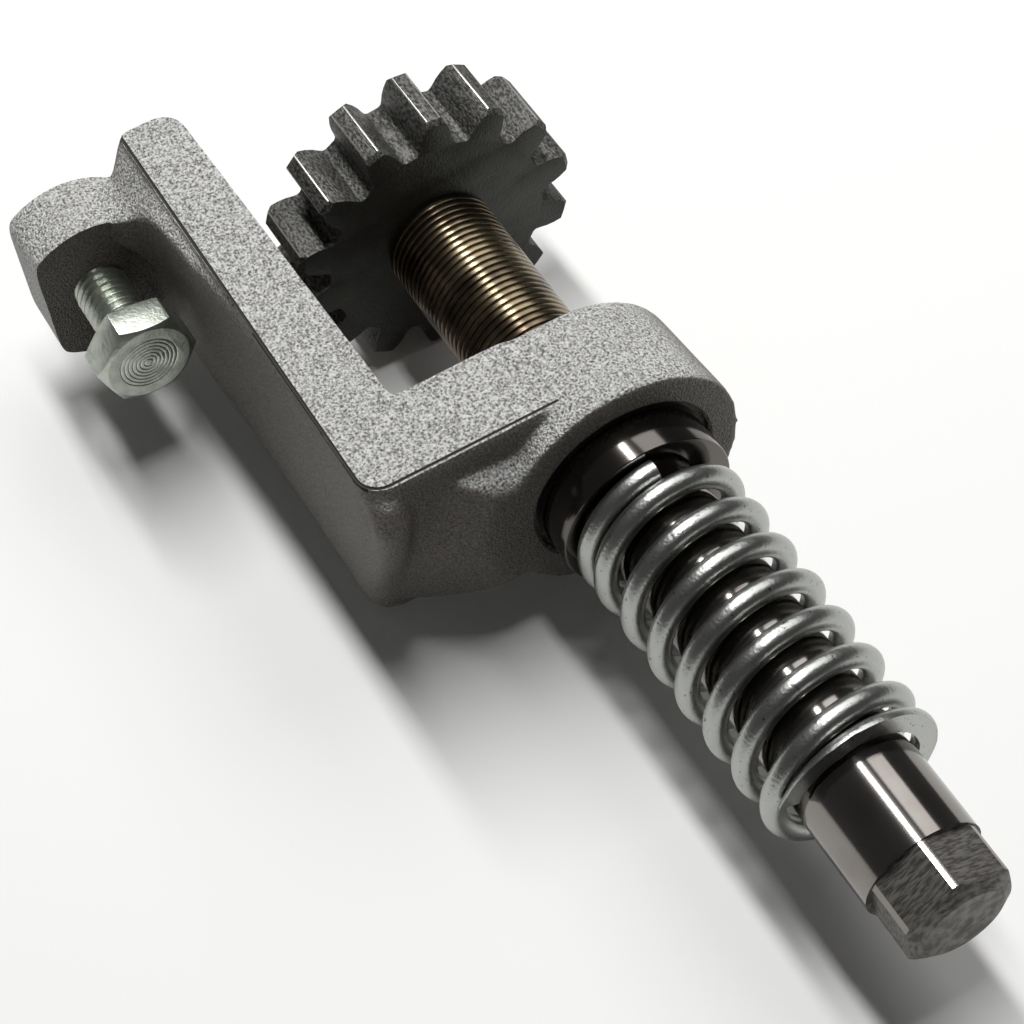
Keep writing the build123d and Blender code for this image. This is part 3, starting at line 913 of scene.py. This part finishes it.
class ADJUSTER_OT_gear(bpy.types.Operator):
    """Cuts the drive gear: one tooth's outline, spun round, extruded and chamfered"""
    bl_idname = "adjuster.gear"
    bl_label = "Drive gear"

    def execute(self, context):
        size = context.scene.adjuster_gear
        back, hub_end = (corner.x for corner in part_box("drive_gear"))
        width, bore_radius = mm(11.5, 5.3)
        front = back + width
        tip = size.tip_radius
        pitch = 2 * pi / size.teeth
        # Drop below the tip in millimetres and half angle as a share of the pitch, gap to tip
        flank = [
            (4.9, 0.5), (4.88, 0.39), (4.6, 0.335), (3.95, 0.305), (2.88, 0.275),
            (1.75, 0.224), (0.85, 0.168), (0.12, 0.118), (0, 0.1),
        ]
        half = [(tip - drop * MM, share * pitch) for drop, share in flank]
        around = [(r, -a) for r, a in half] + [(r, a) for r, a in reversed(half)]
        middle = (back, AXIS_Y, 0)
        points = [
            (0, r * cos(size.tooth_phase + a), r * sin(size.tooth_phase + a)) for r, a in around
        ]
        wheel = chain(points, middle)
        edit(wheel)
        bpy.ops.mesh.select_all(action="SELECT")
        bpy.ops.mesh.spin(
            steps=size.teeth, dupli=True, angle=2 * pi, center=middle, axis=(1, 0, 0)
        )
        bpy.ops.mesh.select_all(action="SELECT")
        bpy.ops.mesh.remove_doubles(threshold=1e-6)
        bpy.ops.mesh.edge_face_add()
        bpy.ops.mesh.extrude_region_move(TRANSFORM_OT_translate={"value": (width, 0, 0)})
        bpy.ops.mesh.select_all(action="SELECT")
        bpy.ops.mesh.normals_make_consistent(inside=False)
        leave_edit()
        rim, over = tip - size.tip_chamfer, size.tip_chamfer + MM
        trim = wind([
            (back, 0), (back, rim), (back + over, rim + over), (front - over, rim + over),
            (front, rim), (front, 0),
        ], AXIS_Y)
        combine(wheel, trim, "INTERSECT")
        combine(wheel, rod(back + MM, hub_end, size.hub_radius), "UNION")
        combine(wheel, rod(back - MM, hub_end + MM, bore_radius), "DIFFERENCE")
        soften(wheel, size.edge_round)
        smooth(wheel, 30)
        colours = context.scene.adjuster_colours
        hand_over(
            wheel, "drive_gear_wheel", "gear", "drive_gear", "gear_steel",
            worn_gear_flank(colours), oiled_gear_face(colours), worn_gear_edge_and_painted_highlight(colours),
        )
        paint_faces(wheel, lambda face: abs(face.normal.x) > 0.95, 1)
        # Painted highlight, partly wear: the small faces round the teeth's tips get the bright rim
        # finish
        paint_faces(
            wheel,
            lambda face: abs(face.normal.x) < 0.2 and face.area < 2.5 * MM * MM
            and from_axis(face.center) > tip - 0.6 * MM,
            2,
        )
        return {"FINISHED"}


class ADJUSTER_OT_wrap_spring(bpy.types.Operator):
    """Winds the square wire of the one-way clutch"""
    bl_idname = "adjuster.wrap_spring"
    bl_label = "Wrap spring"

    def execute(self, context):
        size = context.scene.adjuster_wrap_spring
        low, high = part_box("wrap_spring")
        outer = (high.z - low.z) / 2
        wire_depth = 1.2 * MM
        inner = outer - wire_depth
        wide, c = size.wire_width, size.wire_corner
        room = high.x - low.x - wide
        x = low.x
        section = [
            (x + c, inner), (x + wide - c, inner), (x + wide, inner + c), (x + wide, outer - c),
            (x + wide - 0.3 * c, outer - 0.3 * c), (x + wide - c, outer), (x + c, outer),
            (x + 0.3 * c, outer - 0.3 * c), (x, outer - c), (x, inner + c),
        ]
        coil = wind(section, AXIS_Y, turns=room / size.pitch, rise=room, steps=72, closed=True)
        close_holes(coil)
        smooth(coil, 50)
        hand_over(
            coil, "wrap_spring_coil", "gear", "wrap_spring", "oiled_spring_steel",
            tinted_spring_steel(context.scene.adjuster_colours),
        )
        return {"FINISHED"}


class ADJUSTER_OT_collar(bpy.types.Operator):
    """Turns the clutch collar and cuts its keyway"""
    bl_idname = "adjuster.collar"
    bl_label = "Clutch collar"

    def execute(self, context):
        start, end = span("clutch_collar")
        groove, groove_end = span("collar_retaining_ring")
        stop, head, keyway = 59.3, 60.7, 62.9
        core_bore, keyed_bore = 4.55, 7
        drum, shoulder, journal, groove_floor, flange = 6.925, 8.175, 9.95, 9.5, 12.6
        sleeve = turned([
            (start, drum), (stop, drum), (stop, shoulder), (head, shoulder), (head, journal),
            (groove, journal), (groove, groove_floor), (groove_end, groove_floor),
            (groove_end, journal), (RING_FRONT, journal), (RING_FRONT, flange), (end, flange),
            (end, keyed_bore), (keyway, keyed_bore), (keyway, core_bore), (start, core_bore),
        ], closed=True)
        low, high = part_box("collar_key")
        combine(sleeve, block(low, high), "DIFFERENCE")
        soften(sleeve, 0.35 * MM, 3, 50)
        smooth(sleeve, 30)
        colours = context.scene.adjuster_colours
        hand_over(
            sleeve, "clutch_collar_sleeve", "shaft", "clutch_collar", "ground_steel",
            ground_steel("polished_collar", 0.13, colours.collar),
        )
        return {"FINISHED"}


class ADJUSTER_OT_shaft(bpy.types.Operator):
    """Turns the adjuster shaft and mills its hexagon"""
    bl_idname = "adjuster.shaft"
    bl_label = "Adjuster shaft"

    def execute(self, context):
        size = context.scene.adjuster_shaft
        start, end = span("adjuster_shaft")
        groove, groove_end = span("gear_retaining_ring")
        collar_end = span("clutch_collar")[1]
        keyed_start, journal_start, hex_start, cone_start = 62.9, 134.1, 147.3, 154.27
        core, groove_floor, keyed, spring_seat, journal, hex_end = 4.5, 4.05, 7, 8, 8.2, 7.98
        bar = turned([
            (start, 0), (start, core), (groove, core), (groove, groove_floor),
            (groove_end, groove_floor), (groove_end, core), (keyed_start, core),
            (keyed_start, keyed), (collar_end, keyed), (collar_end, spring_seat),
            (journal_start, spring_seat), (journal_start, journal), (hex_start, journal),
            (hex_start, hex_end), (cone_start, hex_end), (end, 5.68), (end, 1.5),
            (end - 0.08, 1.1), (end - 0.1, 0),
        ])
        low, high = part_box("collar_key")
        combine(bar, block(low, high), "DIFFERENCE")
        corner = size.across_flats / sqrt(3)
        waste = rod(hex_start * MM, 158 * MM, 12 * MM)
        hexagon = rod(140 * MM, 160 * MM, corner, sides=6, turn=size.corner_turn)
        combine(waste, hexagon, "DIFFERENCE")
        combine(bar, waste, "DIFFERENCE")
        soften(bar, size.edge_round)
        smooth(bar, 20)
        colours = context.scene.adjuster_colours
        hand_over(
            bar, "adjuster_shaft_bar", "shaft", "adjuster_shaft", "ground_steel",
            ground_steel("ground_steel", 0.12, colours.steel, colours.steel_film),
            milled_flat(colours),
        )
        flat = size.across_flats / 2
        paint_faces(
            bar,
            lambda face: face.center.x > (hex_start - 0.1) * MM
            and (face.normal.x > 0.9 or from_axis(face.center) < flat + 0.3 * MM),
            1,
        )
        return {"FINISHED"}


class ADJUSTER_OT_compression_spring(bpy.types.Operator):
    """Winds the compression spring on a curve and grinds its free end"""
    bl_idname = "adjuster.compression_spring"
    bl_label = "Compression spring"

    def execute(self, context):
        size = context.scene.adjuster_spring
        low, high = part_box("compression_spring")
        half = size.wire / 2
        middle = size.outer_radius - half
        seat = low.x
        opened = (high.x - seat - size.tip - 2 * size.closed_pitch) / size.pitch
        steps = 72
        total = 2 + opened

        def rise(turn):
            height = size.closed_pitch * turn
            for start, sign in ((1, 1), (1 + opened, -1)):
                past = turn - start + size.ease / 2
                gain = sign * (size.pitch - size.closed_pitch)
                if past > size.ease:
                    height += gain * (past - size.ease / 2)
                elif past > 0:
                    height += gain * past**2 / (2 * size.ease)
            return height

        points = []
        for i in range(ceil(total * steps) + 1):
            turn = min(i / steps, total)
            around = size.start_turn + 2 * pi * turn
            points.append(
                (seat + half + rise(turn), AXIS_Y + middle * cos(around), middle * sin(around))
            )
        coil = tube(points, half, 24)
        slice_off(coil, (high.x, 0, 0), (1, 0, 0))
        tidy_mesh(coil, 1e-6)
        smooth(coil, 40)
        colours = context.scene.adjuster_colours
        hand_over(
            coil, "compression_spring_coil", "shaft", "compression_spring", "bright_spring_steel",
            bright_spring_wire(colours),
        )
        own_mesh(coil)
        return {"FINISHED"}


class ADJUSTER_OT_inner_pieces(bpy.types.Operator):
    """Gives the bushes, washers, rings and key their finishes"""
    bl_idname = "adjuster.inner_pieces"
    bl_label = "Inner pieces"

    def execute(self, context):
        colours = context.scene.adjuster_colours
        bronze = bearing_bronze(colours)
        washer = ground_steel("ground_washer", 0.3, colours.steel, colours.steel_film)
        sprung = tinted_spring_steel(colours)
        key = ground_steel("drawn_key_steel", 0.35, colours.steel)
        finishes = {
            "ring_bush": bronze, "gear_bush": bronze, "collar_key": key,
            "collar_retaining_ring": sprung, "gear_retaining_ring": sprung,
            "collar_thrust_washer": washer, "gear_thrust_washer": washer,
        }
        for name, finish in finishes.items():
            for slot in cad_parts[name].material_slots:
                slot.material = finish
        return {"FINISHED"}


class ADJUSTER_OT_stage(bpy.types.Operator):
    """Sets the pale floor, the soft light and the camera"""
    bl_idname = "adjuster.stage"
    bl_label = "Stage"

    def execute(self, context):
        scene = context.scene
        size = scene.adjuster_stage
        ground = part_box("drive_gear")[0].z
        middle, light_distance = Vector((0.08, 0.04, 0)), 0.9
        deselect()
        bpy.ops.mesh.primitive_plane_add(size=4, location=(0.08, 0.03, ground))
        floor = context.object
        floor.name = "floor"
        paper = bpy.data.materials.new("pale_paper")
        paper.use_nodes = True
        tree = paper.node_tree
        shader = tree.nodes["Principled BSDF"]
        shader.inputs["Roughness"].default_value = 0.9
        path = add_node(tree, "ShaderNodeLightPath").outputs
        seen = calculate(tree, "ADD", path["Is Camera Ray"], path["Is Glossy Ray"])
        seen = calculate(tree, "ADD", seen, path["Is Transmission Ray"], use_clamp=True)
        tint = mixed(tree, size.floor_bounce, size.floor, seen)
        tree.links.new(tint, shader.inputs["Base Color"])
        floor.data.materials.append(paper)

        # Both boxes lie along the shaft, so that it shows them as streaks
        for name, toward, wide, watts in (
            ("strip_box", (-0.32, 0.06, 0.95), size.strip_width, size.strip_power),
            ("fill_box", (-0.32, 0.5, 0.8), size.fill_width, size.fill_power),
        ):
            toward = Vector(toward).normalized()
            along = Vector((1, 0, 0)) - toward.x * toward
            across = toward.cross(along)
            turn = Matrix((along.normalized(), across.normalized(), toward)).transposed()
            deselect()
            place = middle + light_distance * toward
            bpy.ops.object.light_add(type="AREA", location=place, rotation=turn.to_euler())
            lamp = context.object
            lamp.name = name
            lamp.data.shape = "RECTANGLE"
            lamp.data.size = size.box_length
            lamp.data.size_y = wide
            lamp.data.energy = watts

        world = bpy.data.worlds.new("soft_room")
        scene.world = world
        world.use_nodes = True
        tree = world.node_tree
        around = add_node(tree, "ShaderNodeTexCoord").outputs["Generated"]
        height = add_node(tree, "ShaderNodeSeparateXYZ", None, {0: around}).outputs["Z"]
        glow = ramp(tree, height, [
            (0.0, grey(0.1)), (0.3, grey(0.08)), (0.7, grey(0.07)), (1.0, grey(0.09)),
        ])
        tree.links.new(glow, tree.nodes["Background"].inputs["Color"])
        tree.nodes["Background"].inputs["Strength"].default_value = 1.0

        deselect()
        bpy.ops.object.camera_add(
            location=(0.26079, -0.04996, 0.27969),
            rotation=(radians(35.4766), radians(4.72), radians(60.1462)),
        )
        camera = context.object
        camera.data.lens = size.lens
        camera.data.sensor_width = 36
        camera.data.clip_start = 0.01
        scene.camera = camera
        scene.view_settings.view_transform = "Standard"
        return {"FINISHED"}


class ADJUSTER_PT_pieces(bpy.types.Panel):
    """Lists the pieces of the adjusting gear"""
    bl_idname = "ADJUSTER_PT_pieces"
    bl_label = "Caliper adjusting gear"
    bl_space_type = "VIEW_3D"
    bl_region_type = "UI"
    bl_category = "Adjuster"

    def draw(self, context):
        for operator in OPERATORS:
            self.layout.operator(operator.bl_idname)
        for name, group in SETTINGS.items():
            box = self.layout.box()
            box.label(text=group.__name__)
            for key in group.__annotations__:
                box.prop(getattr(context.scene, name), key)


SETTINGS = {
    "adjuster_colours": FinishColours,
    "adjuster_bracket": BracketSizes,
    "adjuster_bolt": BoltSizes,
    "adjuster_gear": GearSizes,
    "adjuster_wrap_spring": WrapSpringSizes,
    "adjuster_shaft": ShaftSizes,
    "adjuster_spring": CompressionSpringSizes,
    "adjuster_stage": StageSettings,
}

OPERATORS = (
    ADJUSTER_OT_bracket,
    ADJUSTER_OT_bolt,
    ADJUSTER_OT_gear,
    ADJUSTER_OT_wrap_spring,
    ADJUSTER_OT_collar,
    ADJUSTER_OT_shaft,
    ADJUSTER_OT_compression_spring,
    ADJUSTER_OT_inner_pieces,
    ADJUSTER_OT_stage,
)


def register():
    for kind in (*SETTINGS.values(), *OPERATORS, ADJUSTER_PT_pieces):
        bpy.utils.register_class(kind)
    for name, group in SETTINGS.items():
        setattr(bpy.types.Scene, name, bpy.props.PointerProperty(type=group))


def unregister():
    for name in SETTINGS:
        delattr(bpy.types.Scene, name)
    for kind in reversed((*SETTINGS.values(), *OPERATORS, ADJUSTER_PT_pieces)):
        bpy.utils.unregister_class(kind)


def main():
    register()
    for operator in OPERATORS:
        group, name = operator.bl_idname.split(".")
        getattr(getattr(bpy.ops, group), name)()
    bpy.context.view_layer.update()


if __name__ == "__main__":
    main()
